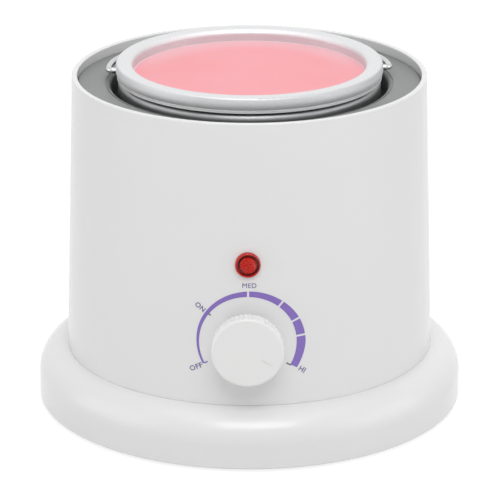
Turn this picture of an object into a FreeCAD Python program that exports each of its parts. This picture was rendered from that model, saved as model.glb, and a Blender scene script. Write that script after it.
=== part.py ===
import FreeCAD, Part
import math
import os

# A bench-top wax warmer: a lift-out pot in a heated well, inside a tapered shell on a wide base.
# Millimetres, +Z up. The origin is on the table under the centre, and the controls face -Y.

# Wax pot
pot_bore = 59.3          # inside radius
pot_wall = 1.5
pot_depth = 90.0         # rim top down to the inside floor
pot_corner = 5.0         # inside radius where the wall meets the floor
rim_width = 8.8          # rolled rim, from its inner edge to its outer edge
rim_height = 7.8
rim_inner_round = 2.8
rim_outer_round = 1.2
rim_crown = 8.0          # radius of the crowned band round the rim
rim_crown_drop = 3.0     # rim top down to where the band is widest
rim_hem = 1.0            # height of the folded hem at the rim's lower edge
rim_seam = 0.6
rim_seam_depth = 0.7
wax_drop = 6.3           # rim top down to the wax
wax_gap = 0.1
pot_turn = 3.0           # degrees that the pot stands turned in its well

# Bail of the pot
bail_wire = 1.55         # wire radius
bail_gap = 1.9           # rim to the wire
bail_bend = 2.6          # centre line radius of the bend into the rim
bail_drop = 4.4          # rim top down to the pivot
bail_grip = 3.0          # wire inside the rim
bail_float = 0.1         # wire over the deck that it rests on
pivot_gap = 0.08

# Heating well
well_gap = 1.7           # pot to well, all round
seat_gap = 0.3           # pot floor to well floor
well_wall = 2.0
well_floor = 2.2
well_corner = 4.0
well_bead = 2.5          # how far the rolled rim stands out
well_roll = 3.2
well_lip = 1.0
well_rim_height = 7.0
well_rim_gap = 0.6       # well rim to pot rim
well_boss_radius = 7.0
well_boss_height = 6.0

# Heater and its insulation
heater_gap = 0.3
heater_wall = 2.5
heater_rise = 7.0        # well floor up to the band
heater_headroom = 10.0   # band up to the deck skirt
heater_split = 3.0
clamp_lug = 11.0         # how far the clamp lugs stand out
clamp_lug_wall = 2.5
clamp_lug_height = 14.0
clamp_screw = 2.0
tab_spread = 14.0        # heater terminals, either side of the split
tab_width = 6.0
tab_reach = 4.5
tab_height = 6.0
sleeve_gap = 0.3
sleeve_wall = 10.0
sleeve_lap = 4.0         # sleeve past the band, at both ends
sleeve_slot = 48.0       # opening at the clamp

# Deck between well and shell
deck_gap = 3.6           # well rim to deck
deck_width = 16.7
deck_wall = 2.0
deck_round = 0.2
deck_skirt = 12.0
deck_crease = 0.5        # groove where the roll starts
deck_crease_depth = 0.4
seal_height = 3.0        # silicone ring in the moat, above the skirt's end
seal_flange = 2.0
deck_fit = 0.3
deck_drop = 5.0          # shell lip down to the deck
deck_boss_radius = 3.5
deck_boss_height = 7.0
lug_gap = 2.5            # deck skirt to the shell's lugs
lug_wall = 3.0
lug_width = 10.0

# Shell
shell_wall = 2.8
lip_round = 0.7
shell_flare = 4.6        # foot radius over lip radius
shell_reveal = 0.25      # shadow line at the foot
rim_rise = 6.0           # pot rim above the shell lip
shell_boss_radius = 4.5
shell_boss_height = 15.0
shell_boss_bite = 0.5    # how far a boss runs into the wall

# Base
foot_proud = 1.5         # rubber below the base edge
base_height = 28.0
base_shoulder = 15.0     # quarter round from side to shell
base_wall = 3.0
base_edge = 1.0
spigot_height = 4.0
spigot_wall = 2.5
spigot_fit = 0.3
ledge_lap = 12.0         # ledge under the chassis plate
cover_wall = 2.5
cover_recess = 1.0
cover_fit = 0.4
cover_boss_radius = 4.0
cover_boss_inset = 12.0
vent_width = 3.5
vent_length = 28.0
vent_count = 12
vent_start = 36.0
foot_radius = 9.0
foot_stem = 3.0
foot_head = 4.2
foot_head_height = 2.0
foot_inset = 18.0        # cover edge to the foot centres

# Chassis
plate_wall = 1.2
plate_fit = 0.5
plate_boss_radius = 3.5
plate_boss_height = 6.0
plate_screw_inset = 6.0
pillar_length = 49.3
pillar_radius = 5.0
pillar_ring = 45.0       # radius of the circle that the pillars stand on
stud_radius = 2.5
stud_length = 5.5

# Thermostat and knob
knob_rise = 32.8         # base top up to the knob axis
knob_radius = 17.95
knob_neck = 15.0         # smooth part behind the ribbed grip
knob_neck_length = 4.8
knob_rib = 0.55
knob_ribs = 48
knob_length = 12.5
knob_edge = 1.5
knob_back_edge = 0.8
knob_gap = 0.7
knob_skirt = 2.6
knob_face = 2.6
knob_hub = 5.5
knob_travel = 119.0      # degrees from the top of the dial to its high end
pointer_width = 1.1
pointer_depth = 0.4
pointer_start = 8.0
pointer_length = 5.5
clip_wall = 0.8
clip_length = 3.0
clip_start = 1.0
clip_split = 2.0
shaft_radius = 3.0
shaft_flat = 1.0
shaft_engage = 8.5
shaft_root = 6.0
run_gap = 0.05
bush_wall = 2.0
bush_length = 6.0
bush_root = 3.0
bush_nut_flats = 14.0
bush_nut_wall = 2.5
shaft_hole = 5.6
bracket_setback = 11.3   # shell inside to the bracket
bracket_wall = 1.5
bracket_width = 40.0
bracket_foot = 28.0
bracket_above = 16.0     # knob axis up to the bracket's top
bracket_screw_inset = 8.0
body_width = 36.0
body_height = 30.0
body_depth = 27.5
body_round = 2.0
blade_width = 6.3
blade_wall = 0.8
blade_length = 9.0
blade_spread = 10.0

# Sensor and thermal fuse under the well
bulb_radius = 3.0
bulb_length = 50.0
bulb_y = 15.0
fuse_radius = 2.0
fuse_length = 14.0
fuse_y = -12.0
clip_band = 0.8
clip_gap = 0.1
clip_width = 8.0
clip_tab = 13.0
clip_boss_radius = 4.0
capillary_radius = 0.9

# Pilot lamp
lamp_rise = 40.7         # knob axis up to the lamp
lamp_flange = 6.2
lamp_flange_wall = 2.6
lamp_edge = 0.6
lamp_dome = 4.3
lamp_dome_rise = 1.2
lamp_groove = 5.3
lamp_groove_depth = 1.6
lamp_tube = 4.9
lamp_tube_length = 10.0
lamp_bore = 3.2
lamp_front_wall = 1.4
lamp_seat = 0.5
lamp_fit = 0.15
lamp_nut_radius = 8.5
lamp_nut_wall = 1.2
neon_gap = 0.3
neon_length = 10.0
lamp_lead_room = 4.0     # behind the lamp, for its leads
lamp_lead_spread = 1.3

# Cord gland at the back
gland_rise = 17.0
gland_flange = 9.0
gland_flange_wall = 3.5
gland_edge = 1.0
gland_nose = 6.5
gland_nose_radius = 5.6
gland_collar = 7.5
gland_thread = 6.0
gland_thread_length = 12.0
gland_bore = 3.75
gland_seat = 0.8
gland_nut_flats = 16.0
gland_nut_wall = 4.0

# Terminal block
block_width = 34.0
block_depth = 18.0
block_height = 14.0
block_inset = 22.4       # chassis edge to the block centre
block_pitch = 10.0
block_bore = 1.8
block_bore_depth = 7.0
block_screw = 1.5
block_screw_depth = 4.0
block_screw_inset = 4.0
block_screw_sink = 0.6
block_floor = 4.0        # under the heads of its own fixing screws

# Fasteners and leads
small_screw = 1.25       # shank radii
screw = 1.5
big_screw = 2.0
cover_screw_length = 14.0
shell_screw_length = 14.0
plate_screw_length = 8.0
pillar_screw_length = 10.0
bracket_screw_length = 6.0
block_screw_length = 8.0
earth_screw_length = 6.0
clip_screw_length = 3.0
clamp_screw_spare = 5.0  # thread past the clamp lugs
clamp_nut_flats = 7.0
clamp_nut_wall = 3.2
thread_room = 0.8        # blind hole past a screw's tip
thread_gap = 0.05
screw_clear = 0.4
screw_head = 1.9         # head radius over shank radius
screw_head_height = 1.3  # head height over shank radius
head_flat = 0.6          # flat part of a head, over its radius
screw_slot = 0.8
screw_slot_depth = 0.7
lead_radius = 1.2
thin_lead = 0.55
lead_ease = 0.45         # share of a run that the arc at its end may take
tag_radius = 4.5
tag_wall = 1.0
tag_tongue = 9.0
tag_tongue_width = 4.0
earth_offset = 15.0      # terminal block's side to the earth screw
earth_setback = 5.0
nut_slack = 0.1

corner_angles = (45, 135, 225, 315)
plate_angles = (22.5, 112.5, 202.5, 292.5)
cover_angles = (0, 90, 180, 270)

# Heights, from the table up
base_bottom = foot_proud
base_top = base_bottom + base_height
ledge_under = base_top - base_wall
cover_under = base_bottom + cover_recess
cover_top = cover_under + cover_wall
plate_top = base_top + plate_wall
boss_under = plate_top + pillar_length
well_under = boss_under + well_boss_height
well_inside = well_under + well_floor
pot_under = well_inside + seat_gap
pot_inside = pot_under + pot_wall
rim_top = pot_inside + pot_depth
rim_under = rim_top - rim_height
pivot_z = rim_top - bail_drop
wax_top = rim_top - wax_drop
well_top = rim_under - well_rim_gap
lip_top = rim_top - rim_rise
deck_top = lip_top - deck_drop
deck_under = deck_top - deck_wall
skirt_under = deck_top - deck_skirt
lug_top = deck_under - deck_boss_height
lug_under = lug_top - lug_wall
heater_under = well_inside + heater_rise
heater_top = skirt_under - heater_headroom
heater_middle = (heater_under + heater_top) / 2
sleeve_under = heater_under - sleeve_lap
knob_z = base_top + knob_rise
lamp_z = knob_z + lamp_rise
gland_z = base_top + gland_rise
terminal_z = plate_top + block_height / 2

# Radii, from the pot out
pot_outside = pot_bore + pot_wall
rim_outside = pot_bore + rim_width
bail_radius = rim_outside + bail_gap + bail_wire
well_bore = pot_outside + well_gap
well_outside = well_bore + well_wall
well_rim = well_outside + well_bead
heater_bore = well_outside + heater_gap
heater_outside = heater_bore + heater_wall
sleeve_bore = heater_outside + sleeve_gap
deck_bore = well_rim + deck_gap
deck_outside = deck_bore + deck_width
lug_inner = deck_bore + deck_wall + lug_gap
deck_boss_ring = lug_inner + lug_width / 2
shell_lip = deck_outside + deck_fit + shell_wall
shell_foot = shell_lip + shell_flare
shell_boss_ring = shell_foot - shell_wall - shell_boss_radius + shell_boss_bite
spigot_outside = shell_foot - shell_wall - spigot_fit
spigot_bore = spigot_outside - spigot_wall
plate_radius = shell_boss_ring - shell_boss_radius - plate_fit
plate_screw_ring = plate_radius - plate_screw_inset
ledge_bore = plate_radius - ledge_lap
base_radius = shell_foot + base_shoulder
base_bore = base_radius - base_wall
cover_radius = base_bore - cover_fit
cover_boss_ring = base_radius - cover_boss_inset
foot_ring = cover_radius - foot_inset


def shell_radius(height):
    return shell_lip + shell_flare * (lip_top - height) / (lip_top - base_top)


shell_lean = shell_flare / (lip_top - base_top)
bracket_front = -(shell_radius(knob_z) - shell_wall - bracket_setback)
body_front = bracket_front + bracket_wall
body_back = body_front + body_depth
knob_back = -(shell_radius(knob_z - knob_neck) + knob_gap)
lamp_seat_y = -(shell_radius(lamp_z) - lamp_seat)
gland_seat_y = shell_radius(gland_z) - gland_seat
block_y = plate_radius - block_inset
block_front = block_y - block_depth / 2
earth_x = -block_width / 2 - earth_offset
earth_y = block_front - earth_setback


def vec(x, y, z):
    return FreeCAD.Vector(x, y, z)


def polar(radius, angle):
    turn = math.radians(angle)
    return radius * math.cos(turn), radius * math.sin(turn)


def bend(radius, height, size, start, end):
    # An arc of a half section, as the point half way round and the end point.
    middle = math.radians((start + end) / 2)
    last = math.radians(end)
    return (radius + size * math.cos(middle), height + size * math.sin(middle),
            radius + size * math.cos(last), height + size * math.sin(last))


def lathe(*steps):
    # Turns a closed half section of radius and height pairs. A step of four numbers is an arc.
    edges = []
    here = vec(steps[0][0], 0, steps[0][1])
    for step in steps[1:] + steps[:1]:
        there = vec(step[-2], 0, step[-1])
        if len(step) == 4:
            edges.append(Part.Arc(here, vec(step[0], 0, step[1]), there).toShape())
        else:
            edges.append(Part.LineSegment(here, there).toShape())
        here = there
    section = Part.Face(Part.Wire(edges))
    return section.revolve(vec(0, 0, 0), vec(0, 0, 1), 360)


def post(radius, bottom, top, x=0.0, y=0.0):
    return Part.makeCylinder(radius, top - bottom, vec(x, y, bottom))


def ring(inner, outer, bottom, top):
    return post(outer, bottom, top).cut(post(inner, bottom, top))


def rod(radius, back, front, x, z):
    # A cylinder along Y from one y to the other.
    low = min(back, front)
    return Part.makeCylinder(radius, abs(front - back), vec(x, low, z), vec(0, 1, 0))


def block(x0, x1, y0, y1, z0, z1):
    return Part.makeBox(x1 - x0, y1 - y0, z1 - z0, vec(x0, y0, z0))


def hexagon(flats, bottom, top):
    corner = flats / math.sqrt(3)
    points = [vec(*polar(corner, 60 * k), bottom) for k in range(7)]
    return Part.Face(Part.makePolygon(points)).extrude(vec(0, 0, top - bottom))


def face_front(shape, y, z):
    # Lays a shape made about Z along Y, its top towards the front.
    shape.rotate(vec(0, 0, 0), vec(1, 0, 0), 90)
    shape.translate(vec(0, y, z))
    return shape


def face_back(shape, y, z):
    shape.rotate(vec(0, 0, 0), vec(1, 0, 0), -90)
    shape.translate(vec(0, y, z))
    return shape


def pan_screw(x, y, seat, reach, shank, points_up):
    # A screw made pointing up from its seat, and turned over where it points down.
    head_radius = shank * screw_head
    head_height = shank * screw_head_height
    flat = head_radius * head_flat
    crown = head_radius - flat
    side = head_height - crown
    head = lathe(
        (0, -head_height),
        (flat, -head_height),
        bend(flat, -side, crown, -90, 0),
        (head_radius, 0),
        (0, 0))
    body = head.fuse(post(shank, 0, reach)).removeSplitter()
    for turn in (0, 90):
        half = screw_slot / 2
        slot = block(-flat, flat, -half, half, -head_height, screw_slot_depth - head_height)
        slot.rotate(vec(0, 0, 0), vec(0, 0, 1), turn)
        body = body.cut(slot)
    if not points_up:
        body.rotate(vec(0, 0, 0), vec(1, 0, 0), 180)
    body.translate(vec(x, y, seat))
    return body


def sweep(edges, start, way, radius):
    section = Part.Wire(Part.Circle(start, way, radius).toShape())
    return Part.Wire(edges).makePipeShell([section], True, False)


def lead(points, radius):
    # A tube of straight runs joined by tangent arcs, each as large as its two runs allow.
    edges = []
    here = points[0]
    for before, corner, after in zip(points, points[1:], points[2:]):
        reach = lead_ease * min(before.distanceToPoint(corner), after.distanceToPoint(corner))
        inward = (before - corner).normalize()
        outward = (after - corner).normalize()
        half = inward.getAngle(outward) / 2
        size = reach * math.tan(half)
        start = corner + inward * reach
        end = corner + outward * reach
        bisector = (inward + outward).normalize()
        middle = corner + bisector * (size / math.sin(half) - size)
        edges.append(Part.LineSegment(here, start).toShape())
        edges.append(Part.Arc(start, middle, end).toShape())
        here = end
    edges.append(Part.LineSegment(here, points[-1]).toShape())
    return sweep(edges, points[0], points[1] - points[0], radius)


def cut_all(shape, tools):
    return shape.cut(Part.makeCompound(tools))


def fuse_all(shape, others):
    return shape.multiFuse(others).removeSplitter()


def group(solids):
    return Part.makeCompound(solids)


def make_base_ring():
    centre = base_top - base_shoulder
    inner_round = base_shoulder - base_wall
    body = lathe(
        (base_bore, base_bottom),
        (base_radius - base_edge, base_bottom),
        bend(base_radius - base_edge, base_bottom + base_edge, base_edge, -90, 0),
        (base_radius, centre),
        bend(shell_foot, centre, base_shoulder, 0, 90),
        (spigot_outside, base_top),
        (spigot_outside, base_top + spigot_height),
        (spigot_bore, base_top + spigot_height),
        (spigot_bore, base_top),
        (ledge_bore, base_top),
        (ledge_bore, ledge_under),
        (shell_foot, ledge_under),
        bend(shell_foot, centre, inner_round, 90, 0))
    added = []
    for angle in cover_angles:
        x, y = polar(cover_boss_ring, angle)
        added.append(post(cover_boss_radius, cover_top, ledge_under + base_wall / 4, x, y))
    for angle in plate_angles:
        x, y = polar(plate_screw_ring, angle)
        under = ledge_under - plate_boss_height
        added.append(post(plate_boss_radius, under, ledge_under + base_wall / 2, x, y))
    body = fuse_all(body, added)
    holes = []
    for angle in cover_angles:
        x, y = polar(cover_boss_ring, angle)
        tip = cover_under + cover_screw_length
        holes.append(post(screw + thread_gap, cover_top, tip + thread_room, x, y))
    for angle in plate_angles:
        x, y = polar(plate_screw_ring, angle)
        holes.append(post(screw + thread_gap, plate_top - plate_screw_length - thread_room, base_top, x, y))
    for angle in corner_angles:
        x, y = polar(shell_boss_ring, angle)
        holes.append(post(screw + screw_clear, ledge_under, base_top, x, y))
        holes.append(post(shell_boss_radius + plate_fit, base_top, base_top + spigot_height, x, y))
    return cut_all(body, holes)


def make_bottom_cover():
    body = post(cover_radius, cover_under, cover_top)
    holes = []
    for angle in cover_angles:
        x, y = polar(cover_boss_ring, angle)
        holes.append(post(screw + screw_clear, cover_under, cover_top, x, y))
    for angle in corner_angles:
        x, y = polar(foot_ring, angle)
        holes.append(post(foot_stem + thread_gap, cover_under, cover_top, x, y))
    for k in range(vent_count):
        vent_end = vent_start + vent_length
        slot = block(vent_start, vent_end, -vent_width / 2, vent_width / 2, cover_under, cover_top)
        slot.rotate(vec(0, 0, 0), vec(0, 0, 1), (k + 0.5) * 360 / vent_count)
        holes.append(slot)
    return cut_all(body, holes)


def make_rubber_feet():
    edge = base_edge
    feet = []
    for angle in corner_angles:
        foot = lathe(
            (0, 0),
            (foot_radius - edge, 0),
            bend(foot_radius - edge, edge, edge, -90, 0),
            (foot_radius, cover_under),
            (foot_stem, cover_under),
            (foot_stem, cover_top),
            (foot_head, cover_top),
            (foot_stem, cover_top + foot_head_height),
            (0, cover_top + foot_head_height))
        x, y = polar(foot_ring, angle)
        foot.translate(vec(x, y, 0))
        feet.append(foot)
    return group(feet)


def make_cover_screws():
    places = [polar(cover_boss_ring, angle) for angle in cover_angles]
    return group([pan_screw(x, y, cover_under, cover_screw_length, screw, True) for x, y in places])


def make_shell_screws():
    places = [polar(shell_boss_ring, angle) for angle in corner_angles]
    return group([pan_screw(x, y, ledge_under, shell_screw_length, screw, True) for x, y in places])


def make_outer_shell():
    foot = shell_radius(base_top)
    half = shell_wall / 2
    crown = lip_top - lip_round
    outside = shell_radius(crown)
    lip_bore = outside - shell_wall
    body = lathe(
        (foot - shell_wall, base_top),
        (foot - shell_reveal, base_top),
        (shell_radius(base_top + shell_reveal), base_top + shell_reveal),
        (outside, crown),
        bend(outside - lip_round, crown, lip_round, 0, 90),
        (lip_bore + lip_round, lip_top),
        bend(lip_bore + lip_round, crown, lip_round, 90, 180))
    added = []
    for angle in corner_angles:
        lug_outer = shell_radius(lug_top) - half
        lug = block(lug_inner, lug_outer, -lug_width / 2, lug_width / 2, lug_under, lug_top)
        lug.rotate(vec(0, 0, 0), vec(0, 0, 1), angle)
        added.append(lug)
        x, y = polar(shell_boss_ring, angle)
        added.append(post(shell_boss_radius, base_top, base_top + shell_boss_height, x, y))
    body = fuse_all(body, added)
    holes = []
    for angle in corner_angles:
        x, y = polar(shell_boss_ring, angle)
        holes.append(post(screw + thread_gap, base_top, ledge_under + shell_screw_length + thread_room, x, y))
        x, y = polar(deck_boss_ring, angle)
        holes.append(post(small_screw + screw_clear, lug_under, lug_top, x, y))
    reach = shell_foot + shell_wall
    inside = shell_lip - 4 * shell_wall
    holes.append(rod(shaft_hole, -reach, -inside, 0, knob_z))
    holes.append(rod(lamp_tube + lamp_fit, -reach, -inside, 0, lamp_z))
    holes.append(rod(lamp_flange + lamp_fit, -reach, lamp_seat_y, 0, lamp_z))
    holes.append(rod(gland_thread + lamp_fit, reach, inside, 0, gland_z))
    holes.append(rod(gland_flange + lamp_fit, reach, gland_seat_y, 0, gland_z))
    return cut_all(body, holes)


def make_deck_ring():
    inner_round = deck_round + deck_wall
    crease = deck_bore + inner_round + deck_crease
    body = lathe(
        (deck_outside, deck_under),
        (deck_outside, deck_top),
        (crease, deck_top),
        (crease, deck_top - deck_crease_depth),
        (deck_bore + inner_round, deck_top - deck_crease_depth),
        (deck_bore + inner_round, deck_top),
        bend(deck_bore + inner_round, deck_top - inner_round, inner_round, 90, 180),
        (deck_bore, skirt_under),
        (deck_bore + deck_wall, skirt_under),
        (deck_bore + deck_wall, deck_top - inner_round),
        bend(deck_bore + inner_round, deck_top - inner_round, deck_round, 180, 90))
    bosses = []
    holes = []
    for angle in corner_angles:
        x, y = polar(deck_boss_ring, angle)
        bosses.append(post(deck_boss_radius, lug_top, deck_under + deck_wall / 2, x, y))
        holes.append(post(small_screw + thread_gap, lug_top, deck_under - thread_room, x, y))
    return cut_all(fuse_all(body, bosses), holes)


def make_deck_seal():
    # Fills the moat's floor, and hooks under the end of the deck's skirt.
    inner = well_outside + thread_gap
    stem = ring(inner, deck_bore - thread_gap, skirt_under, skirt_under + seal_height)
    flange = ring(inner, deck_bore + deck_wall, skirt_under - seal_flange, skirt_under)
    return stem.fuse(flange).removeSplitter()


def make_deck_screws():
    places = [polar(deck_boss_ring, angle) for angle in corner_angles]
    reach = lug_wall + deck_boss_height - 2 * thread_room
    return group([pan_screw(x, y, lug_under, reach, small_screw, True) for x, y in places])


def make_chassis_plate():
    body = post(plate_radius, base_top, plate_top)
    holes = []
    for angle in plate_angles:
        x, y = polar(plate_screw_ring, angle)
        holes.append(post(screw + screw_clear, base_top, plate_top, x, y))
    for angle in corner_angles:
        x, y = polar(pillar_ring, angle)
        holes.append(post(big_screw + screw_clear, base_top, plate_top, x, y))
    for x, y in bracket_screw_places() + block_screw_places():
        holes.append(post(screw + thread_gap, base_top, plate_top, x, y))
    holes.append(post(big_screw + thread_gap, base_top, plate_top, earth_x, earth_y))
    return cut_all(body, holes)


def bracket_screw_places():
    y = bracket_front + bracket_foot - bracket_screw_inset
    return [(-bracket_width / 3, y), (bracket_width / 3, y)]


def block_screw_places():
    return [(-block_pitch / 2, block_y), (block_pitch / 2, block_y)]


def make_chassis_screws():
    places = [polar(plate_screw_ring, angle) for angle in plate_angles]
    return group([pan_screw(x, y, plate_top, plate_screw_length, screw, False) for x, y in places])


def make_well_pillars():
    pillars = []
    for angle in corner_angles:
        x, y = polar(pillar_ring, angle)
        pillar = post(pillar_radius, plate_top, boss_under, x, y)
        pillar = pillar.fuse(post(stud_radius, boss_under, boss_under + stud_length, x, y)).removeSplitter()
        tapped = post(big_screw + thread_gap, plate_top, base_top + pillar_screw_length + thread_room, x, y)
        pillars.append(pillar.cut(tapped))
    return group(pillars)


def make_pillar_screws():
    places = [polar(pillar_ring, angle) for angle in corner_angles]
    return group([pan_screw(x, y, base_top, pillar_screw_length, big_screw, True) for x, y in places])


def clip_height(radius):
    # Axis of a tube that hangs in a clip just under the well.
    return well_under - clip_gap - clip_band - clip_gap - radius


def clip_screw_y(y):
    return y + clip_tab - clip_boss_radius


def make_heating_well():
    outer_corner = well_corner + well_wall
    bead_under = well_top - well_rim_height
    body = lathe(
        (0, well_under),
        (well_outside - outer_corner, well_under),
        bend(well_outside - outer_corner, well_under + outer_corner, outer_corner, -90, 0),
        (well_outside, bead_under),
        (well_rim, bead_under),
        (well_rim, well_top - well_roll),
        bend(well_rim - well_roll, well_top - well_roll, well_roll, 0, 90),
        (well_bore + well_lip, well_top),
        bend(well_bore + well_lip, well_top - well_lip, well_lip, 90, 180),
        (well_bore, well_inside + well_corner),
        bend(well_bore - well_corner, well_inside + well_corner, well_corner, 0, -90),
        (0, well_inside))
    bosses = []
    holes = []
    for angle in corner_angles:
        x, y = polar(pillar_ring, angle)
        bosses.append(post(well_boss_radius, boss_under, well_under + well_floor / 2, x, y))
        tip = boss_under + stud_length
        holes.append(post(stud_radius + thread_gap, boss_under, tip + thread_room / 2, x, y))
    for y, radius in ((bulb_y, bulb_radius), (fuse_y, fuse_radius)):
        seat = clip_height(radius) + clip_band / 2
        tip = seat - clip_band + clip_screw_length
        bosses.append(post(clip_boss_radius, seat, well_under + well_floor / 2, 0, clip_screw_y(y)))
        holes.append(post(screw + thread_gap, seat, tip + thread_room, 0, clip_screw_y(y)))
    return cut_all(fuse_all(body, bosses), holes)


def make_heater_band():
    body = ring(heater_bore, heater_outside, heater_under, heater_top)
    low = heater_middle - clamp_lug_height / 2
    high = heater_middle + clamp_lug_height / 2
    inside = heater_bore + heater_wall / 2
    added = []
    for side in (-1, 1):
        near = side * heater_split / 2
        far = side * (heater_split / 2 + clamp_lug_wall)
        added.append(block(min(near, far), max(near, far), inside, heater_outside + clamp_lug, low, high))
        tab = block(side * tab_spread - tab_width / 2, side * tab_spread + tab_width / 2,
                    math.sqrt(inside ** 2 - tab_spread ** 2), heater_outside + tab_reach,
                    heater_under, heater_under + tab_height)
        added.append(tab)
    body = fuse_all(body, added)
    half = heater_split / 2
    split = block(-half, half, 0, heater_outside + clamp_lug, heater_under, heater_top)
    reach = heater_split / 2 + clamp_lug_wall
    bolt_y = heater_outside + clamp_lug / 2
    bolt_end = vec(-reach, bolt_y, heater_middle)
    bolt = Part.makeCylinder(clamp_screw + screw_clear, 2 * reach, bolt_end, vec(1, 0, 0))
    return body.cut(split).cut(bolt)


def lay_across(shape, x, turn):
    # Lays a shape made about Z along X, on the clamp's axis.
    shape.rotate(vec(0, 0, 0), vec(0, 1, 0), turn)
    shape.translate(vec(x, heater_outside + clamp_lug / 2, heater_middle))
    return shape


def make_clamp_screw():
    seat = heater_split / 2 + clamp_lug_wall
    reach = 2 * seat + clamp_screw_spare
    return lay_across(pan_screw(0, 0, 0, reach, clamp_screw, True), -seat, 90)


def make_clamp_nut():
    nut = hexagon(clamp_nut_flats, 0, clamp_nut_wall).cut(post(clamp_screw + thread_gap, 0, clamp_nut_wall))
    return lay_across(nut, heater_split / 2 + clamp_lug_wall, 90)


def make_insulation_sleeve():
    top = heater_top + sleeve_lap
    outside = sleeve_bore + sleeve_wall
    body = ring(sleeve_bore, outside, sleeve_under, top)
    clamp_slot = block(-sleeve_slot / 2, sleeve_slot / 2, 0, outside, sleeve_under, top)
    lamp_slot = block(-lamp_nut_radius, lamp_nut_radius, lamp_seat_y, neon_back() + lamp_lead_room,
                      sleeve_under, lamp_z + lamp_nut_radius)
    return cut_all(body, [clamp_slot, lamp_slot])


def make_thermostat_bracket():
    half = bracket_width / 2
    upright = block(-half, half, bracket_front, body_front, plate_top, knob_z + bracket_above)
    foot_back = bracket_front + bracket_foot
    foot = block(-half, half, bracket_front, foot_back, plate_top, plate_top + bracket_wall)
    body = upright.fuse(foot).removeSplitter()
    holes = [rod(shaft_radius + run_gap + bush_wall + thread_gap, bracket_front, body_front, 0, knob_z)]
    for x, y in bracket_screw_places():
        holes.append(post(screw + screw_clear, plate_top, plate_top + bracket_wall, x, y))
    return cut_all(body, holes)


def make_bracket_screws():
    seat = plate_top + bracket_wall
    reach = bracket_screw_length
    return group([pan_screw(x, y, seat, reach, screw, False) for x, y in bracket_screw_places()])


def make_thermostat_body():
    half = body_width / 2
    low = knob_z - body_height / 2
    high = knob_z + body_height / 2
    body = block(-half, half, body_front, body_back, low, high)
    long_edges = [edge for edge in body.Edges if abs(edge.tangentAt(edge.FirstParameter).y) > 0.9]
    body = body.makeFillet(body_round, long_edges)
    bush = rod(shaft_radius + run_gap + bush_wall + thread_gap, body_front, body_front + bush_root, 0, knob_z)
    root = rod(shaft_radius + run_gap, body_front, body_front + shaft_root + thread_room, 0, knob_z)
    return cut_all(body, [bush, root])


def make_thermostat_blades():
    blades = []
    for x in (-blade_spread, blade_spread):
        blades.append(block(x - blade_width / 2, x + blade_width / 2, body_back, body_back + blade_length,
                            knob_z - blade_wall / 2, knob_z + blade_wall / 2))
    return group(blades)


def make_thermostat_bush():
    outer = shaft_radius + run_gap + bush_wall
    tip = bracket_front - bush_length
    root = body_front + bush_root
    return rod(outer, tip, root, 0, knob_z).cut(rod(shaft_radius + run_gap, tip, root, 0, knob_z))


def make_bush_nut():
    nut = hexagon(bush_nut_flats, 0, bush_nut_wall)
    nut = nut.cut(post(shaft_radius + run_gap + bush_wall + thread_gap, 0, bush_nut_wall))
    return face_front(nut, bracket_front, knob_z)


def make_thermostat_shaft():
    tip = knob_back - shaft_engage
    body = rod(shaft_radius, tip, body_front + shaft_root, 0, knob_z)
    low = knob_z - shaft_radius
    high = knob_z + shaft_radius
    return body.cut(block(shaft_radius - shaft_flat, shaft_radius, tip, knob_back, low, high))


def make_knob():
    valley = knob_radius - knob_rib
    step = 360.0 / knob_ribs
    arcs = []
    for k in range(knob_ribs):
        start = vec(*polar(valley, k * step), 0)
        crest = vec(*polar(knob_radius, (k + 0.5) * step), 0)
        end = vec(*polar(valley, (k + 1) * step), 0)
        arcs.append(Part.Arc(start, crest, end).toShape())
    ribbed = Part.Face(Part.Wire(arcs)).extrude(vec(0, 0, knob_length))
    turned = lathe(
        (0, 0),
        (knob_neck, 0),
        (knob_neck, knob_neck_length),
        (knob_radius - knob_back_edge, knob_neck_length),
        bend(knob_radius - knob_back_edge, knob_neck_length + knob_back_edge, knob_back_edge, -90, 0),
        (knob_radius, knob_length - knob_edge),
        bend(knob_radius - knob_edge, knob_length - knob_edge, knob_edge, 0, 90),
        (0, knob_length))
    body = ribbed.common(turned)
    cavity = ring(knob_hub, knob_neck - knob_skirt, 0, knob_length - knob_face)
    depth = shaft_engage + seat_gap
    bore = post(shaft_radius + run_gap, 0, depth)
    flat = block(shaft_radius - shaft_flat + run_gap, 2 * shaft_radius, -knob_hub, knob_hub, 0, depth)
    pointer = block(-pointer_width / 2, pointer_width / 2, pointer_start, pointer_start + pointer_length,
                    knob_length - pointer_depth, knob_length)
    pointer.rotate(vec(0, 0, 0), vec(0, 0, 1), -knob_travel)
    return face_front(cut_all(body, [cavity, bore.cut(flat), pointer]), knob_back, knob_z)


def make_knob_clip():
    inner = knob_hub + clip_gap
    end = clip_start + clip_length
    body = ring(inner, inner + clip_wall, clip_start, end)
    gap = block(0, inner + 2 * clip_wall, -clip_split / 2, clip_split / 2, clip_start, end)
    return face_front(body.cut(gap), knob_back, knob_z)


def make_p_clip(y, radius):
    # A strap round a tube that lies along X, with one tab under the well.
    z = clip_height(radius)
    inner = radius + clip_gap
    strap = Part.makeCylinder(inner + clip_band, clip_width, vec(-clip_width / 2, y, z), vec(1, 0, 0))
    tab = block(-clip_width / 2, clip_width / 2, y, y + clip_tab, z - clip_band / 2, z + clip_band / 2)
    hollow = Part.makeCylinder(inner, clip_width, vec(-clip_width / 2, y, z), vec(1, 0, 0))
    hole = post(screw + screw_clear, z - clip_band, z + clip_band, 0, clip_screw_y(y))
    return cut_all(strap.fuse(tab).removeSplitter(), [hollow, hole])


def make_clip_screws():
    screws = []
    for y, radius in ((bulb_y, bulb_radius), (fuse_y, fuse_radius)):
        seat = clip_height(radius) - clip_band / 2
        screws.append(pan_screw(0, clip_screw_y(y), seat, clip_screw_length, screw, True))
    return group(screws)


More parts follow.
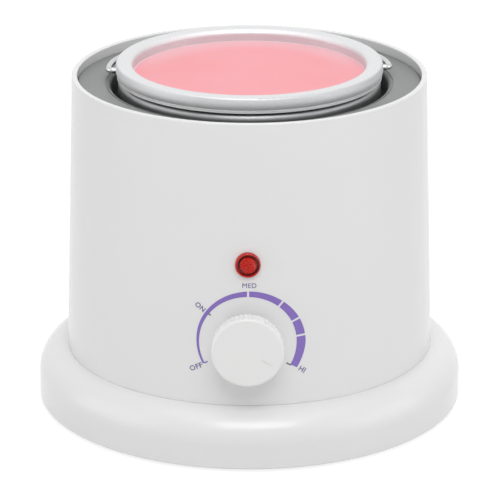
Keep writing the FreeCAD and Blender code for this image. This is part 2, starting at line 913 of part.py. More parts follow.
def make_sensor_bulb():
    start = vec(-bulb_length / 2, bulb_y, clip_height(bulb_radius))
    return Part.makeCylinder(bulb_radius, bulb_length, start, vec(1, 0, 0))


def make_capillary_tube():
    z = clip_height(bulb_radius)
    low = knob_z - body_height / 3
    bulb_end = -bulb_length / 2
    route = [
        vec(0, body_back, low),
        vec(0, body_back + 14, low),
        vec(bulb_end - 12, -4, low + 8),
        vec(bulb_end - 12, bulb_y, z - 10),
        vec(bulb_end - 12, bulb_y, z),
        vec(bulb_end, bulb_y, z)]
    return lead(route, capillary_radius)


def make_thermal_fuse():
    z = clip_height(fuse_radius)
    return Part.makeCylinder(fuse_radius, fuse_length, vec(-fuse_length / 2, fuse_y, z), vec(1, 0, 0))


def make_lamp_lens():
    front = lamp_flange_wall
    bulge = lamp_dome_rise
    sphere = (lamp_dome ** 2 + bulge ** 2) / (2 * bulge)
    half = math.asin(lamp_dome / sphere) / 2
    body = lathe(
        (lamp_bore, -lamp_tube_length),
        (lamp_tube, -lamp_tube_length),
        (lamp_tube, 0),
        (lamp_flange, 0),
        (lamp_flange, front - lamp_edge),
        bend(lamp_flange - lamp_edge, front - lamp_edge, lamp_edge, 0, 90),
        (lamp_groove, front),
        (lamp_groove, front - lamp_groove_depth),
        (lamp_dome, front - lamp_groove_depth),
        (lamp_dome, front),
        (sphere * math.sin(half), front + bulge - sphere + sphere * math.cos(half), 0, front + bulge),
        (0, front - lamp_front_wall),
        (lamp_bore, front - lamp_front_wall))
    return face_front(body, lamp_seat_y, lamp_z)


def wall_seat(height, radius):
    # The flat against the inside of the curved, leaning wall that a round nut can reach.
    inside = shell_radius(height) - shell_wall
    return math.sqrt(inside ** 2 - radius ** 2) - shell_lean * radius - nut_slack


def make_lamp_nut():
    nut = ring(lamp_tube + nut_slack, lamp_nut_radius, -lamp_nut_wall, 0)
    return face_front(nut, -wall_seat(lamp_z, lamp_nut_radius), lamp_z)


def neon_back():
    return lamp_seat_y - lamp_flange_wall + lamp_front_wall + neon_gap + neon_length


def make_neon_bulb():
    radius = lamp_bore - neon_gap
    bulb = lathe(
        (0, 0),
        (radius, 0),
        (radius, neon_length - radius),
        bend(0, neon_length - radius, radius, 0, 90))
    return face_front(bulb, neon_back(), lamp_z)


def make_cord_gland():
    body = lathe(
        (gland_bore, -gland_thread_length),
        (gland_thread, -gland_thread_length),
        (gland_thread, 0),
        (gland_flange, 0),
        (gland_flange, gland_flange_wall - gland_edge),
        bend(gland_flange - gland_edge, gland_flange_wall - gland_edge, gland_edge, 0, 90),
        (gland_collar, gland_flange_wall),
        (gland_nose_radius, gland_flange_wall + gland_nose),
        (gland_bore, gland_flange_wall + gland_nose))
    return face_back(body, gland_seat_y, gland_z)


def make_gland_nut():
    nut = hexagon(gland_nut_flats, -gland_nut_wall, 0)
    nut = nut.cut(post(gland_thread + thread_gap, -gland_nut_wall, 0))
    return face_back(nut, wall_seat(gland_z, gland_nut_flats / math.sqrt(3)), gland_z)


def block_ways():
    return [k * block_pitch for k in (-1, 0, 1)]


def clamp_places():
    reach = block_depth / 2 - block_screw_inset
    return [(x, block_y + side * reach) for x in block_ways() for side in (-1, 1)]


def make_terminal_block():
    top = plate_top + block_height
    back = block_front + block_depth
    body = block(-block_width / 2, block_width / 2, block_front, back, plate_top, top)
    holes = []
    for x in block_ways():
        holes.append(rod(block_bore, block_front, block_front + block_bore_depth, x, terminal_z))
        holes.append(rod(block_bore, back - block_bore_depth, back, x, terminal_z))
    for x, y in clamp_places():
        holes.append(post(block_screw + thread_gap, top - block_screw_depth, top, x, y))
    for x, y in block_screw_places():
        holes.append(post(screw + screw_clear, plate_top, top, x, y))
        holes.append(post(screw * screw_head + screw_clear, plate_top + block_floor, top, x, y))
    return cut_all(body, holes)


def make_terminal_screws():
    top = plate_top + block_height
    screws = []
    for x, y in clamp_places():
        level = top - block_screw_sink
        grub = post(block_screw, top - block_screw_depth, level, x, y)
        half = screw_slot / 4
        slot = block(x - block_screw, x + block_screw, y - half, y + half, level - screw_slot_depth, level)
        screws.append(grub.cut(slot))
    return group(screws)


def make_block_screws():
    seat = plate_top + block_floor
    return group([pan_screw(x, y, seat, block_screw_length, screw, False) for x, y in block_screw_places()])


def make_earth_screw():
    return pan_screw(earth_x, earth_y, plate_top + tag_wall, earth_screw_length, big_screw, False)


def make_earth_lead():
    tag_top = plate_top + tag_wall
    half = tag_tongue_width / 2
    tag = post(tag_radius, plate_top, tag_top, earth_x, earth_y)
    tongue = block(earth_x, earth_x + tag_tongue, earth_y - half, earth_y + half, plate_top, tag_top)
    level = plate_top + lead_radius + tag_wall / 5
    route = [
        vec(-block_pitch, block_front + block_bore_depth - 1, terminal_z),
        vec(-block_pitch, earth_y, terminal_z),
        vec(-block_pitch - 7, earth_y, level),
        vec(earth_x + 5, earth_y, level)]
    wire = lead(route, lead_radius)
    hole = post(big_screw + screw_clear, plate_top, tag_top, earth_x, earth_y)
    return fuse_all(tag, [tongue, wire]).cut(hole)


def make_lead_live():
    blade_end = body_back + blade_length
    route = [
        vec(block_pitch, block_front + block_bore_depth - 1, terminal_z),
        vec(block_pitch, 20, terminal_z),
        vec(block_pitch, blade_end + 16, knob_z),
        vec(block_pitch, blade_end, knob_z)]
    return lead(route, lead_radius)


def make_lead_switched():
    blade_end = body_back + blade_length
    z = clip_height(fuse_radius)
    side = -fuse_length / 2 - 14
    route = [
        vec(-blade_spread, blade_end, knob_z),
        vec(-blade_spread, blade_end + 13, knob_z),
        vec(side, fuse_y, z - 10),
        vec(side, fuse_y, z),
        vec(-fuse_length / 2, fuse_y, z)]
    return lead(route, lead_radius)


def heater_tab_y():
    return heater_outside + tab_reach - lead_radius - 0.6


def make_lead_heater():
    z = clip_height(fuse_radius)
    side = fuse_length / 2 + 14
    route = [
        vec(fuse_length / 2, fuse_y, z),
        vec(side, fuse_y, z),
        vec(side, fuse_y + 7, z - 14),
        vec(side, heater_tab_y() - 12, z - 14),
        vec(tab_spread, heater_tab_y(), z - 4),
        vec(tab_spread, heater_tab_y(), heater_under)]
    return lead(route, lead_radius)


def make_lead_neutral():
    z = well_under
    route = [
        vec(0, block_front + block_bore_depth - 1, terminal_z),
        vec(0, block_front - 12, terminal_z),
        vec(-tab_spread - 6, block_front - 10, z - 28),
        vec(-tab_spread - 4, heater_tab_y() - 8, z - 18),
        vec(-tab_spread, heater_tab_y(), z - 4),
        vec(-tab_spread, heater_tab_y(), heater_under)]
    return lead(route, lead_radius)


def make_lamp_leads():
    start = neon_back()
    drop = start + lamp_lead_room / 2
    past = bracket_width / 2 + 6
    level = (sleeve_under + knob_z + bracket_above) / 2
    to_thermostat = [
        vec(-lamp_lead_spread, start, lamp_z),
        vec(-lamp_lead_spread, drop, lamp_z),
        vec(-lamp_lead_spread, drop, level),
        vec(-past, drop, level),
        vec(-past, body_front + 12, knob_z),
        vec(-body_width / 2, body_front + 12, knob_z)]
    to_block = [
        vec(lamp_lead_spread, start, lamp_z),
        vec(lamp_lead_spread, drop, lamp_z),
        vec(lamp_lead_spread, drop, level),
        vec(past, drop, level),
        vec(pillar_ring, body_back, terminal_z),
        vec(pillar_ring, block_front - 14, terminal_z),
        vec(block_width / 2 + 8, block_y, terminal_z),
        vec(block_width / 2, block_y, terminal_z)]
    return group([lead(to_thermostat, thin_lead), lead(to_block, thin_lead)])


def turn_pot(shape):
    shape.rotate(vec(0, 0, 0), vec(0, 0, 1), pot_turn)
    return shape


def make_pot():
    outer_corner = pot_corner + pot_wall
    inner = pot_bore + rim_inner_round
    hem_top = rim_under + rim_hem
    seam_top = hem_top + rim_seam
    crown_x = rim_outside - rim_crown
    crown_z = rim_top - rim_crown_drop
    lean = math.asin((rim_crown_drop - rim_outer_round) / (rim_crown - rim_outer_round))
    tuck = math.asin((crown_z - seam_top) / rim_crown)
    outer = crown_x + (rim_crown - rim_outer_round) * math.cos(lean)
    hem = crown_x + rim_crown * math.cos(tuck)
    body = lathe(
        (0, pot_under),
        (pot_outside - outer_corner, pot_under),
        bend(pot_outside - outer_corner, pot_under + outer_corner, outer_corner, -90, 0),
        (pot_outside, rim_top - rim_inner_round),
        bend(inner, rim_top - rim_inner_round, rim_inner_round - pot_wall, 180, 90),
        (outer - pot_wall / 2, rim_top - pot_wall),
        (rim_outside - pot_wall, crown_z),
        (hem - pot_wall, seam_top),
        (hem - pot_wall, rim_under),
        (hem, rim_under),
        (hem, hem_top),
        (hem - rim_seam_depth, hem_top),
        (hem - rim_seam_depth, seam_top),
        (hem, seam_top),
        bend(crown_x, crown_z, rim_crown, -math.degrees(tuck), math.degrees(lean)),
        bend(outer, rim_top - rim_outer_round, rim_outer_round, math.degrees(lean), 90),
        (inner, rim_top),
        bend(inner, rim_top - rim_inner_round, rim_inner_round, 90, 180),
        (pot_bore, pot_inside + pot_corner),
        bend(pot_bore - pot_corner, pot_inside + pot_corner, pot_corner, 0, -90),
        (0, pot_inside))
    holes = []
    for side in (-1, 1):
        start = vec(side * (rim_outside - 2 * pot_wall), 0, pivot_z)
        holes.append(Part.makeCylinder(bail_wire + pivot_gap, 3 * pot_wall, start, vec(side, 0, 0)))
    return turn_pot(cut_all(body, holes))


def make_wax_fill():
    radius = pot_bore - wax_gap
    corner = pot_corner
    floor = pot_inside + wax_gap
    return lathe(
        (0, floor),
        (radius - corner, floor),
        bend(radius - corner, floor + corner, corner, -90, 0),
        (radius, wax_top),
        (0, wax_top))


def make_bail_handle():
    end = rim_outside - pot_wall - bail_grip
    straight = bail_radius - bail_bend
    tip = vec(-end, 0, pivot_z)
    slant = bail_bend * (1 - math.sqrt(0.5))
    edges = [
        Part.LineSegment(tip, vec(-straight, 0, pivot_z)).toShape(),
        Part.Arc(vec(-straight, 0, pivot_z), vec(-bail_radius + slant, slant, pivot_z),
                 vec(-bail_radius, bail_bend, pivot_z)).toShape(),
        Part.Arc(vec(-bail_radius, bail_bend, pivot_z), vec(0, bail_bend + bail_radius, pivot_z),
                 vec(bail_radius, bail_bend, pivot_z)).toShape(),
        Part.Arc(vec(bail_radius, bail_bend, pivot_z), vec(bail_radius - slant, slant, pivot_z),
                 vec(straight, 0, pivot_z)).toShape(),
        Part.LineSegment(vec(straight, 0, pivot_z), vec(end, 0, pivot_z)).toShape()]
    wire = sweep(edges, tip, vec(-1, 0, 0), bail_wire)
    reach = bail_bend + bail_radius
    droop = math.asin((pivot_z - bail_wire - bail_float - deck_top) / reach)
    wire.rotate(vec(0, 0, pivot_z), vec(1, 0, 0), -math.degrees(droop))
    return turn_pot(wire)


pieces = {
    "base_ring": make_base_ring(),
    "bottom_cover": make_bottom_cover(),
    "rubber_feet": make_rubber_feet(),
    "cover_screws": make_cover_screws(),
    "shell_screws": make_shell_screws(),
    "outer_shell": make_outer_shell(),
    "deck_ring": make_deck_ring(),
    "deck_seal": make_deck_seal(),
    "deck_screws": make_deck_screws(),
    "chassis_plate": make_chassis_plate(),
    "chassis_screws": make_chassis_screws(),
    "well_pillars": make_well_pillars(),
    "pillar_screws": make_pillar_screws(),
    "heating_well": make_heating_well(),
    "heater_band": make_heater_band(),
    "heater_clamp_screw": make_clamp_screw(),
    "heater_clamp_nut": make_clamp_nut(),
    "insulation_sleeve": make_insulation_sleeve(),
    "thermostat_bracket": make_thermostat_bracket(),
    "bracket_screws": make_bracket_screws(),
    "thermostat_body": make_thermostat_body(),
    "thermostat_blades": make_thermostat_blades(),
    "thermostat_bush": make_thermostat_bush(),
    "bush_nut": make_bush_nut(),
    "thermostat_shaft": make_thermostat_shaft(),
    "knob": make_knob(),
    "knob_clip": make_knob_clip(),
    "sensor_bulb": make_sensor_bulb(),
    "capillary_tube": make_capillary_tube(),
    "bulb_clip": make_p_clip(bulb_y, bulb_radius),
    "thermal_fuse": make_thermal_fuse(),
    "fuse_clip": make_p_clip(fuse_y, fuse_radius),
    "clip_screws": make_clip_screws(),
    "lamp_lens": make_lamp_lens(),
    "lamp_nut": make_lamp_nut(),
    "neon_bulb": make_neon_bulb(),
    "lamp_leads": make_lamp_leads(),
    "cord_gland": make_cord_gland(),
    "gland_nut": make_gland_nut(),
    "terminal_block": make_terminal_block(),
    "terminal_screws": make_terminal_screws(),
    "block_screws": make_block_screws(),
    "earth_screw": make_earth_screw(),
    "earth_lead": make_earth_lead(),
    "lead_live": make_lead_live(),
    "lead_switched": make_lead_switched(),
    "lead_heater": make_lead_heater(),
    "lead_neutral": make_lead_neutral(),
    "pot": make_pot(),
    "wax_fill": make_wax_fill(),
    "bail_handle": make_bail_handle(),
}

os.makedirs("parts", exist_ok=True)
for name, shape in pieces.items():
    shape.exportStep(os.path.join("parts", name + ".step"))
    print(name, "solids", len(shape.Solids), "valid", shape.isValid(), "volume", round(shape.Volume, 1))
print("height", rim_top, "base diameter", 2 * base_radius, "shell", shell_foot, shell_lip, "lip", lip_top)
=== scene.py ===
import math

import bmesh
import bpy
from mathutils import Matrix, Vector, noise


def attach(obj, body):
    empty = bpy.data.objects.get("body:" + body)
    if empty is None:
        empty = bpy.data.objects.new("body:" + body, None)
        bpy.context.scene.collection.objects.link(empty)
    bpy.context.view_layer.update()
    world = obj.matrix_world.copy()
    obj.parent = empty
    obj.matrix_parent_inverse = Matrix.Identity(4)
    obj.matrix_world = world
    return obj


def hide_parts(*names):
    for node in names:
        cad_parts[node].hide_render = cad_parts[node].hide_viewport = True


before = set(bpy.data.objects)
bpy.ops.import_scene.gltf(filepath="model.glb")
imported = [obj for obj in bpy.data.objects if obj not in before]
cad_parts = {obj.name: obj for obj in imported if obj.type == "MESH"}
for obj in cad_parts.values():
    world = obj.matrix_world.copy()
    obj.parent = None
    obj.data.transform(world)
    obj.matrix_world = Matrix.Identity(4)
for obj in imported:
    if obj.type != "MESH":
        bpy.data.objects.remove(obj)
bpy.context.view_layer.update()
mm = 0.001              # in metres, which the scene is in
weld = 0.001 * mm       # points of a turned shape that lie closer than this become one
sliver = 1e-7           # a point this close to a cut, in metres, counts as on it
print("stage frame", len(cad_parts), "nodes")


def linear(hexText):
    # an sRGB hex colour as the linear one that a shader takes
    channels = []
    for start in (1, 3, 5):
        share = int(hexText[start:start + 2], 16) / 255
        channels.append(share / 12.92 if share <= 0.04045 else ((share + 0.055) / 1.055) ** 2.4)
    return (*channels, 1.0)


def addNode(tree, kind, values=None, links=None, **settings):
    node = tree.nodes.new(kind)
    for name, value in settings.items():
        setattr(node, name, value)
    for socket, value in (values or {}).items():
        node.inputs[socket].default_value = value
    for socket, source in (links or {}).items():
        tree.links.new(source, node.inputs[socket])
    return node


def newMaterial(name):
    material = bpy.data.materials.new(name)
    material.use_nodes = True
    tree = material.node_tree
    tree.nodes.clear()
    return material, tree


def newPiece(name, bm, materials, smooth=True):
    mesh = bpy.data.meshes.new(name)
    for face in bm.faces:
        face.smooth = smooth
    bm.to_mesh(mesh)
    bm.free()
    for material in materials:
        mesh.materials.append(material)
    piece = bpy.data.objects.new(name, mesh)
    bpy.context.scene.collection.objects.link(piece)
    return piece


# Camera: well above the warmer and far off, with a long lens that looks down at the pot
camera = {
    "distance": 1.4790,     # from the pot's axis, on the floor plan, m
    "height": 0.6032,
    "pitch": 19.56,         # degrees below the horizon
    "azimuth": 0.5,         # degrees towards +X
    "nudge": 0.0114,        # degrees that the axis stands left of the picture's middle
    "lens": 217.4,
    "sensor": 36.0,
    "clip": (0.05, 20.0),   # m
}


def makeCamera():
    data = bpy.data.cameras.new("camera")
    data.lens = camera["lens"]
    data.sensor_width = camera["sensor"]
    data.dof.use_dof = False
    data.clip_start, data.clip_end = camera["clip"]
    eye = bpy.data.objects.new("camera", data)
    bpy.context.scene.collection.objects.link(eye)
    side = math.radians(camera["azimuth"])
    eye.location = (camera["distance"] * math.sin(side), -camera["distance"] * math.cos(side), camera["height"])
    turn = math.radians(camera["azimuth"] - camera["nudge"])
    eye.rotation_euler = (math.radians(90 - camera["pitch"]), 0, turn)
    bpy.context.scene.camera = eye


makeCamera()
print("stage camera")


# Studio: a white room, a soft key above the camera, a weak light overhead and wide ones at the sides and back
studio = {
    "room": 0.42,               # light of the room on matt surfaces
    "white": 1.0,               # what the camera and reflections see of it
    "floorSize": 4.0,           # m from the middle to an edge
    "floorCells": 8,
    "floorMatt": "#E6E6E6",
    "floorShade": "#8C8C8C",    # the share of the floor's white that a shadow can take away
    "floorGlow": 0.82,
    "floorDrop": 0.05,          # mm that it lies under the feet
    "aim": (0, 0, 0.1),         # the point that every lamp faces, m
    "lamps": (
        {"name": "topLight", "place": (0.0, -0.35, 1.7), "size": (1.8, 1.2), "power": 4.6},
        {"name": "keyLight", "place": (0.1, -1.3, 1.65), "size": (1.3, 0.9), "power": 14.5},
        {"name": "leftLight", "place": (-1.75, -0.35, 0.5), "size": (1.6, 1.5), "power": 6.5},
        {"name": "rightLight", "place": (1.75, -0.35, 0.5), "size": (1.6, 1.5), "power": 6.5},
        # kept out of reflections, because level surfaces would throw it straight at the camera
        {"name": "backLight", "place": (0.2, 1.3, 1.6), "size": (1.2, 0.7), "power": 9.0, "mirrored": False},
    ),
}


def seenDirectly(tree):
    # 1 for what the camera, a reflection or clear plastic looks at
    path = addNode(tree, "ShaderNodeLightPath")
    both = addNode(tree, "ShaderNodeMath", operation="MAXIMUM",
                   links={0: path.outputs["Is Camera Ray"], 1: path.outputs["Is Glossy Ray"]})
    seen = addNode(tree, "ShaderNodeMath", operation="MAXIMUM",
                   links={0: both.outputs[0], 1: path.outputs["Is Transmission Ray"]})
    return seen.outputs[0]


def makeRoom():
    world = bpy.data.worlds.new("whiteRoom")
    bpy.context.scene.world = world
    world.use_nodes = True
    tree = world.node_tree
    tree.nodes.clear()
    dim = addNode(tree, "ShaderNodeBackground", {"Color": linear("#FFFFFF"), "Strength": studio["room"]})
    bright = addNode(tree, "ShaderNodeBackground", {"Color": linear("#FFFFFF"), "Strength": studio["white"]})
    mix = addNode(tree, "ShaderNodeMixShader",
                  links={0: seenDirectly(tree), 1: dim.outputs[0], 2: bright.outputs[0]})
    addNode(tree, "ShaderNodeOutputWorld", links={"Surface": mix.outputs[0]})


def makeLamp(lamp):
    data = bpy.data.lights.new(lamp["name"], "AREA")
    data.shape = "RECTANGLE"
    data.size, data.size_y = lamp["size"]
    data.energy = lamp["power"]
    light = bpy.data.objects.new(lamp["name"], data)
    bpy.context.scene.collection.objects.link(light)
    light.location = lamp["place"]
    aim = Vector(studio["aim"]) - Vector(lamp["place"])
    light.rotation_euler = aim.to_track_quat("-Z", "Y").to_euler()
    light.visible_camera = False
    light.visible_glossy = lamp.get("mirrored", True)


def floorPaper():
    # Matt paper sweep: white to the eye, with a soft shadow under the object, and clear from below
    material, tree = newMaterial("paperSweep")
    matt = addNode(tree, "ShaderNodeBsdfDiffuse", {"Color": linear(studio["floorMatt"])})
    shade = addNode(tree, "ShaderNodeBsdfDiffuse", {"Color": linear(studio["floorShade"])})
    glow = addNode(tree, "ShaderNodeEmission", {"Color": linear("#FFFFFF"), "Strength": studio["floorGlow"]})
    lit = addNode(tree, "ShaderNodeAddShader", links={0: shade.outputs[0], 1: glow.outputs[0]})
    mix = addNode(tree, "ShaderNodeMixShader",
                  links={0: seenDirectly(tree), 1: matt.outputs[0], 2: lit.outputs[0]})
    side = addNode(tree, "ShaderNodeNewGeometry")
    clear = addNode(tree, "ShaderNodeBsdfTransparent")
    both = addNode(tree, "ShaderNodeMixShader",
                   links={0: side.outputs["Backfacing"], 1: mix.outputs[0], 2: clear.outputs[0]})
    addNode(tree, "ShaderNodeOutputMaterial", links={"Surface": both.outputs[0]})
    return material


def makeFloor():
    cells = studio["floorCells"]
    bm = bmesh.new()
    bmesh.ops.create_grid(bm, x_segments=cells, y_segments=cells, size=studio["floorSize"])
    bmesh.ops.translate(bm, verts=bm.verts, vec=(0, 0, -studio["floorDrop"] * mm))
    floor = newPiece("floor", bm, [floorPaper()])


makeRoom()
for lamp in studio["lamps"]:
    makeLamp(lamp)
makeFloor()
print("stage studio")


# What the finishes are made from. Places are Object coordinates, so a pattern moves with its piece.
def objectPlace(tree):
    return addNode(tree, "ShaderNodeTexCoord").outputs["Object"]


def axisDistance(tree, place, across):
    # distance from an axis, where across has a 1 for both directions that count
    flat = addNode(tree, "ShaderNodeVectorMath", {1: across}, {0: place}, operation="MULTIPLY")
    length = addNode(tree, "ShaderNodeVectorMath", links={0: flat.outputs[0]}, operation="LENGTH")
    return length.outputs["Value"]


def patternScale(size):
    # how often a pattern of that size in mm repeats in a metre
    return 1 / (size * mm)


def mottle(tree, place, size, detail, **settings):
    # cloudy pattern from 0 to 1, with patches of that size in mm
    values = {"Scale": patternScale(size), "Detail": detail}
    return addNode(tree, "ShaderNodeTexNoise", values, {"Vector": place}, **settings).outputs["Fac"]


def inMetres(span):
    return tuple(end * mm for end in span)


def remap(tree, value, span, result=(0.0, 1.0), smooth=False):
    # stretches the span of a value to the range of the result
    values = {"From Min": span[0], "From Max": span[1], "To Min": result[0], "To Max": result[1]}
    return addNode(tree, "ShaderNodeMapRange", values, {"Value": value},
                   interpolation_type="SMOOTHSTEP" if smooth else "LINEAR").outputs[0]


def roughness(tree, pattern, look):
    return remap(tree, pattern, (0.0, 1.0), look["rough"])


def blend(tree, share, first, second):
    # mixes two colours, each of them a hex colour or the output of a node
    ends = {6: first, 7: second}
    fixed = {socket: linear(end) for socket, end in ends.items() if isinstance(end, str)}
    linked = {socket: end for socket, end in ends.items() if socket not in fixed}
    return addNode(tree, "ShaderNodeMix", fixed, {0: share, **linked}, data_type="RGBA").outputs[2]


def calculate(tree, operation, first, second):
    # one sum on an output and a number or another output
    if isinstance(second, float):
        return addNode(tree, "ShaderNodeMath", {1: second}, {0: first}, operation=operation).outputs[0]
    return addNode(tree, "ShaderNodeMath", links={0: first, 1: second}, operation=operation).outputs[0]


def makeSurface(tree, colour, rough, values, height=None, depth=0.0):
    # ends a material: the pattern in height, depth mm deep, is its fine relief
    links = {"Base Color": colour, "Roughness": rough}
    if height is not None:
        bump = addNode(tree, "ShaderNodeBump", {"Distance": depth * mm}, {"Height": height})
        links["Normal"] = bump.outputs[0]
    shader = addNode(tree, "ShaderNodeBsdfPrincipled", values, links)
    addNode(tree, "ShaderNodeOutputMaterial", links={"Surface": shader.outputs[0]})


# Finishes of the carried-over pieces. Sizes are in mm. tone is the colour that the base drifts to,
# toneSize how far one patch of it reaches, grain the spacing of the surface's own texture and depth its height.
finishes = {
    # Injection-moulded ABS from a polished tool: even white, soft gloss, a trace of orange peel
    "white_plastic": {"name": "whiteAbs", "base": "#E9E9E8", "tone": "#E4E4E5", "toneSize": 140, "grain": 1.6,
                      "depth": 0.002, "rough": (0.19, 0.25), "ior": 1.53},
    # The knob's ABS comes from a spark-eroded tool, so it is more matt than the shell
    "knob_plastic": {"name": "knobAbs", "base": "#EFEFEE", "tone": "#E9E9E9", "toneSize": 60, "grain": 0.6,
                     "depth": 0.004, "rough": (0.34, 0.48), "ior": 1.53},
    # Textured polypropylene under the base: off-white and dull
    "cover_plastic": {"name": "coverPolypropylene", "base": "#D6D6D4", "tone": "#CFCFCE", "toneSize": 20,
                      "grain": 0.8, "depth": 0.02, "rough": (0.5, 0.65), "ior": 1.49},
    # Moulded nitrile rubber: nearly black, dusty grey where it is rubbed
    "black_rubber": {"name": "nitrileRubber", "base": "#1E1E1F", "tone": "#2B2B2B", "toneSize": 4, "grain": 0.5,
                     "depth": 0.015, "rough": (0.7, 0.85), "ior": 1.52},
    # Zinc-plated steel: bluish silver with cloudy patches
    "zinc_steel": {"name": "zincPlate", "base": "#B9BDC0", "tone": "#A9ABA6", "toneSize": 1.5, "grain": 0.3,
                   "depth": 0.004, "rough": (0.28, 0.42), "metallic": 1.0},
    # Satin enamel sprayed on the deck: mid grey with the faint speckle of metal flake
    "grey_paint": {"name": "satinEnamel", "base": "#898A8A", "tone": "#7B7C7C", "toneSize": 0.9, "grain": 0.7,
                   "depth": 0.006, "rough": (0.32, 0.5), "ior": 1.5},
    # Cast silicone of the ring in the moat: dark grey with a dull bloom, its darkness partly painted shade of
    # the moat
    "grey_silicone": {"name": "castSiliconeMoatShade", "base": "#2E2E2E", "tone": "#262626", "toneSize": 3, "grain": 0.8,
                      "depth": 0.01, "rough": (0.45, 0.65), "ior": 1.41},
    # Galvanised sheet: grey with large zinc crystals
    "chassis_steel": {"name": "galvanisedSheet", "base": "#A7ABAD", "tone": "#8E9396", "toneSize": 7,
                      "grain": 1.2, "depth": 0.004, "rough": (0.35, 0.55), "metallic": 1.0},
    # Drawn stainless wire of the bail: bright, with clear reflections
    "bail_steel": {"name": "drawnWire", "base": "#D2D3D4", "tone": "#C2C3C3", "toneSize": 3, "grain": 0.35,
                   "depth": 0.003, "rough": (0.1, 0.26), "metallic": 1.0},
    # Heater band of pressed mica: flaky tan
    "heater_mica": {"name": "pressedMica", "base": "#8F7C58", "tone": "#A8977A", "toneSize": 3, "grain": 0.9,
                    "depth": 0.02, "rough": (0.4, 0.7), "ior": 1.58},
    # Glass wool mat: off-white fibre
    "glass_wool": {"name": "glassWool", "base": "#DAD6C8", "tone": "#C6C0AE", "toneSize": 5, "grain": 0.7,
                   "depth": 0.25, "rough": (0.85, 0.95), "ior": 1.5},
    # Phenolic moulding, as thermostats and lamp nuts have: soft black, half matt
    "black_plastic": {"name": "phenolic", "base": "#232224", "tone": "#2E2C2C", "toneSize": 4, "grain": 0.5,
                      "depth": 0.006, "rough": (0.4, 0.55), "ior": 1.6},
    # Stamped brass, a little tarnished
    "brass": {"name": "stampedBrass", "base": "#C9A95B", "tone": "#A98846", "toneSize": 2, "grain": 0.4,
              "depth": 0.004, "rough": (0.25, 0.42), "metallic": 1.0},
    # Drawn copper tube: warm, darker where it was bent
    "copper_tube": {"name": "drawnCopper", "base": "#BF7A57", "tone": "#9A5C40", "toneSize": 4, "grain": 0.4,
                    "depth": 0.004, "rough": (0.25, 0.45), "metallic": 1.0},
    # Soda glass of the neon lamp: smooth, with the orange of the gas
    "neon_glass": {"name": "neonGlass", "base": "#F0C9A8", "tone": "#E9B894", "toneSize": 2, "grain": 1.0,
                   "depth": 0.002, "rough": (0.06, 0.12), "ior": 1.52},
    # Nylon terminal block: ivory, waxy
    "ivory_plastic": {"name": "ivoryNylon", "base": "#E6DFC9", "tone": "#DDD4BA", "toneSize": 5, "grain": 0.6,
                      "depth": 0.006, "rough": (0.42, 0.55), "ior": 1.53},
    # Silicone covers of the leads: plain colours with a dull sheen
    "lead_brown": {"name": "brownLead", "base": "#6A4128", "tone": "#5B3722", "toneSize": 6, "grain": 0.5,
                   "depth": 0.005, "rough": (0.45, 0.6), "ior": 1.45},
    "lead_blue": {"name": "blueLead", "base": "#2F5FA8", "tone": "#29528F", "toneSize": 6, "grain": 0.5,
                  "depth": 0.005, "rough": (0.45, 0.6), "ior": 1.45},
    "lead_green": {"name": "earthLead", "base": "#4F8F3C", "tone": "#D9C23A", "toneSize": 4, "grain": 0.5,
                   "depth": 0.005, "rough": (0.45, 0.6), "ior": 1.45},
    "lead_white": {"name": "whiteLead", "base": "#E2E0DA", "tone": "#D6D3CB", "toneSize": 6, "grain": 0.5,
                   "depth": 0.005, "rough": (0.45, 0.6), "ior": 1.45},
}


def plainFinish(look):
    material, tree = newMaterial(look["name"])
    place = objectPlace(tree)
    cloud = mottle(tree, place, look["toneSize"], detail=4.0)
    grain = mottle(tree, place, look["grain"], detail=3.0)
    colour = blend(tree, cloud, look["base"], look["tone"])
    values = {"Metallic": look.get("metallic", 0.0), "IOR": look.get("ior", 1.5)}
    makeSurface(tree, colour, roughness(tree, grain, look), values, grain, look["depth"])
    return material


# Spun aluminium: satin silver with a soft grain over the rings that the lathe leaves. Radii and heights in mm.
spunFinishes = {
    # The pot is blasted with fine beads, so it is paler and more matt than the well
    "pot_aluminium": {"name": "blastedPotAluminium", "base": "#ECECED", "tone": "#D2D3D4", "speck": 0.9,
                      "ring": 0.6, "depth": 0.004, "rough": (0.44, 0.7),
                      # a film of wax, painted shade and a painted pink reflection of the wax make the inside
                      # darker, up to these radii
                      "waxFilmAndShade": "#D4D1D4", "waxFilmAndShadeReach": (59.4, 60.3),
                      # painted shade: round the rim the outside turns grey towards its top edge, and the band
                      # under it is painted light
                      "edge": "#C2C3C5", "paintedShadeReach": (176.2, 179.4), "paintedShadingFade": (179.5, 180.0),
                      "band": "#EBEBEC", "bandShare": 0.8, "bandInside": 66.3},
    "well_aluminium": {"name": "spunWellAluminium", "base": "#A9AAAB", "tone": "#98999A", "speck": 1.2,
                       "ring": 0.7, "depth": 0.003, "rough": (0.36, 0.54)},
}


def paintedRimShading(tree, look, colour, radius, height):
    # painted shade towards the rim's top edge and a painted light band, laid over the colour of the metal
    # outside of a radius
    rimShadeShare = remap(tree, height, inMetres(look["paintedShadeReach"]), smooth=True)
    paintedRimTint = blend(tree, rimShadeShare, look["band"], look["edge"])
    outside = calculate(tree, "GREATER_THAN", radius, look["bandInside"] * mm)
    below = remap(tree, height, inMetres(look["paintedShadingFade"]), (look["bandShare"], 0.0))
    return blend(tree, calculate(tree, "MULTIPLY", outside, below), colour, paintedRimTint)


